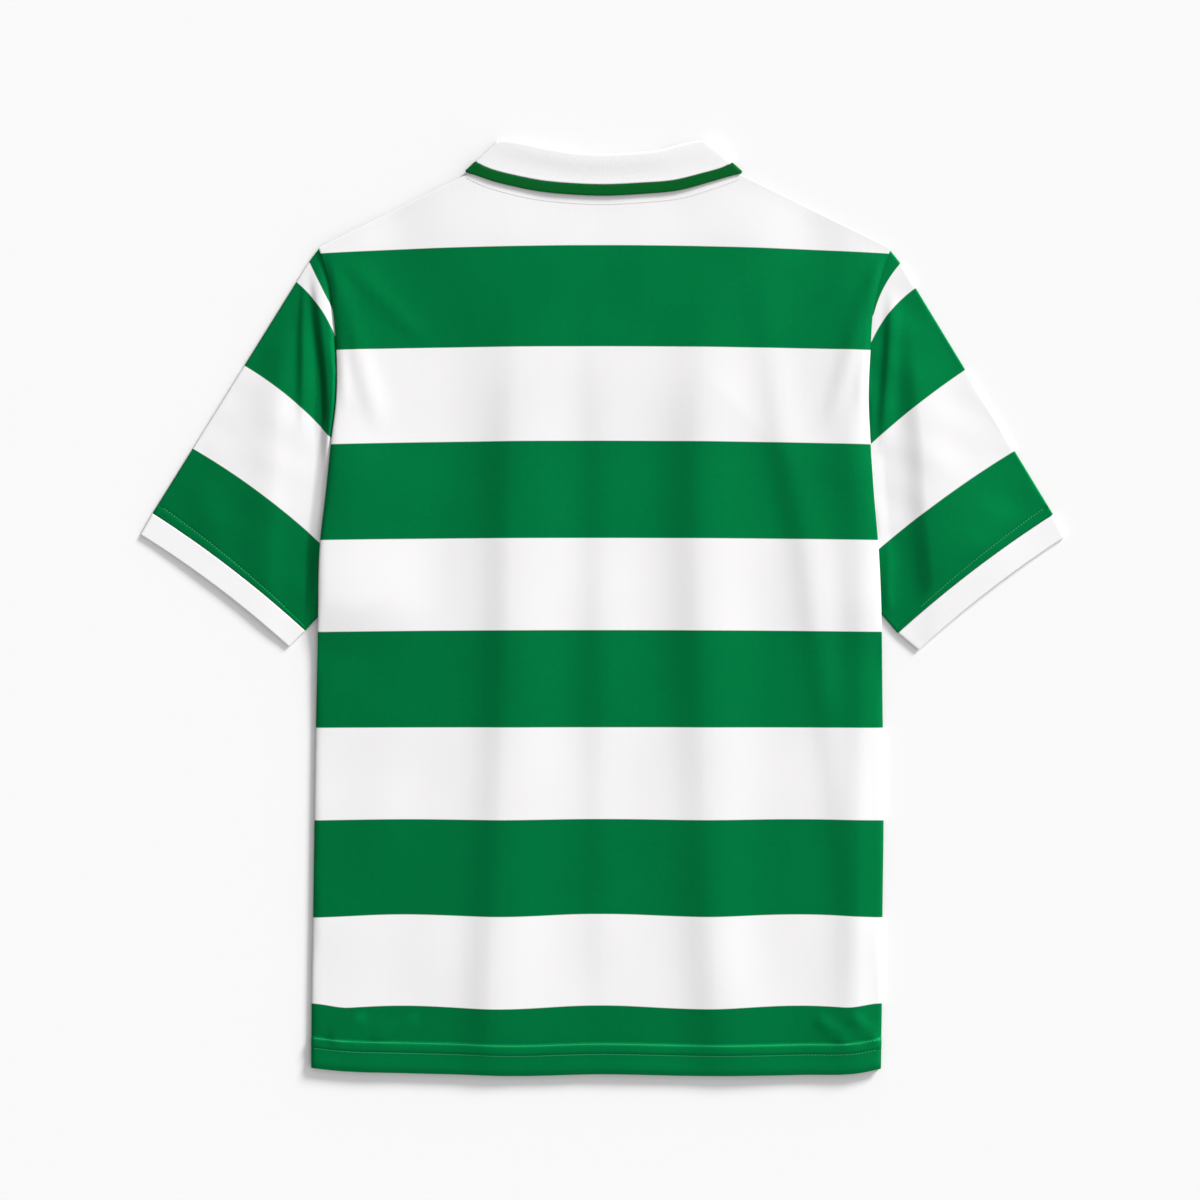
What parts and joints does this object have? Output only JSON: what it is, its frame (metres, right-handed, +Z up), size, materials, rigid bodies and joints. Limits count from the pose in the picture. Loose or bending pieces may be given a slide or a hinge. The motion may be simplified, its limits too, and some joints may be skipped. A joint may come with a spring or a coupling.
{
  "type": "football jersey",
  "caption": "Short-sleeved football jersey with a folded collar and broad hoops, laid flat with its back side up.",
  "frame": {"origin": "middle of the flat underside, on the surface that the jersey lies on", "axes": "+Z up away from the surface, +Y to the neck, +X to the wearer's right, since the back side is up"},
  "size_m": [0.7942, 0.803, 0.0069],
  "materials": {
    "hooped_cloth": "satin knit, green hoops on white",
    "white_cloth": "satin knit",
    "white_collar": "matte fine knit",
    "green_edge": "matte fine rib"
  },
  "bodies": {
    "root": {"back_panel": "hooped_cloth", "front_panel": "hooped_cloth", "sleeve_left": "hooped_cloth", "sleeve_right": "hooped_cloth", "cuff_left": "white_cloth", "cuff_right": "white_cloth", "collar": "white_collar", "collar_edge": "green_edge"}
  },
  "joints": []
}
